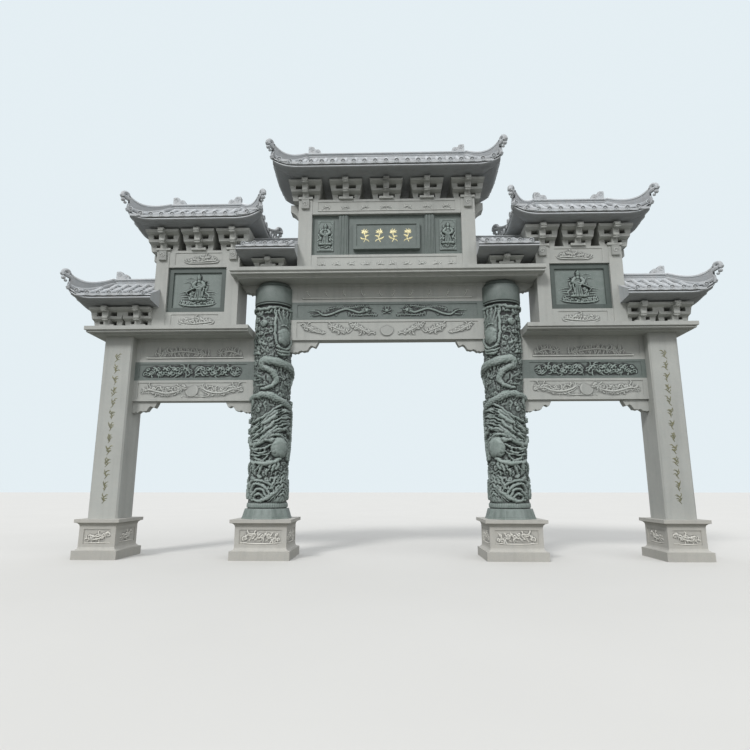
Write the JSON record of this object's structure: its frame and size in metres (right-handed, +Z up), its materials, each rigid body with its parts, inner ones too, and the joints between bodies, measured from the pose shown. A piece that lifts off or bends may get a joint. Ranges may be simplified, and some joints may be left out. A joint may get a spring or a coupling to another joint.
{
  "type": "stone memorial gate (paifang)",
  "caption": "Free-standing stone ceremonial gate: carved dragon columns and square columns on pedestals carry stacked beams, framed panels, bracket sets and upswept tiled roofs.",
  "frame": {"origin": "on the ground, midway between the four pedestals and midway front to back", "axes": "+X along the gate to the right seen from the front, +Z up, the front faces -Y"},
  "size_m": [15.9864, 2.5506, 10.765],
  "materials": {
    "pale_granite": "honed pale grey granite with fine grain",
    "roof_stone": "carved light grey granite tiles",
    "dark_stone": "carved dark blue-green stone, matt",
    "gilt": "dark stone with gold paint in carved ornament"
  },
  "bodies": {
    "root": {"left_inner_pedestal": "pale_granite", "right_inner_pedestal": "pale_granite", "left_outer_pedestal": "pale_granite", "right_outer_pedestal": "pale_granite", "column_bases": "dark_stone", "left_outer_column": "pale_granite", "right_outer_column": "pale_granite", "left_dragon_column": "dark_stone", "right_dragon_column": "dark_stone", "column_capitals": "dark_stone", "centre_beam_lower": "pale_granite", "centre_beam_middle": "dark_stone", "centre_beam_upper": "pale_granite", "left_beam_lower": "pale_granite", "right_beam_lower": "pale_granite", "left_beam_middle": "dark_stone", "right_beam_middle": "dark_stone", "left_beam_upper": "pale_granite", "right_beam_upper": "pale_granite", "centre_braces": "pale_granite", "side_braces": "pale_granite", "cornice_braces": "pale_granite", "left_cornice": "pale_granite", "right_cornice": "pale_granite", "centre_cornice": "pale_granite", "centre_posts": "pale_granite", "centre_rails": "pale_granite", "centre_panel": "dark_stone", "name_boards": "dark_stone", "side_posts": "pale_granite", "side_rails": "pale_granite", "left_relief_panel": "dark_stone", "right_relief_panel": "dark_stone", "beam_ears": "pale_granite", "centre_brackets": "pale_granite", "side_brackets": "pale_granite", "lower_brackets": "pale_granite", "filler_brackets": "pale_granite", "centre_roof": "roof_stone", "centre_ridge": "roof_stone", "left_side_roof": "roof_stone", "right_side_roof": "roof_stone", "side_ridges": "roof_stone", "left_lower_roof": "roof_stone", "right_lower_roof": "roof_stone", "lower_ridges": "roof_stone", "filler_roofs": "roof_stone"}
  },
  "joints": []
}
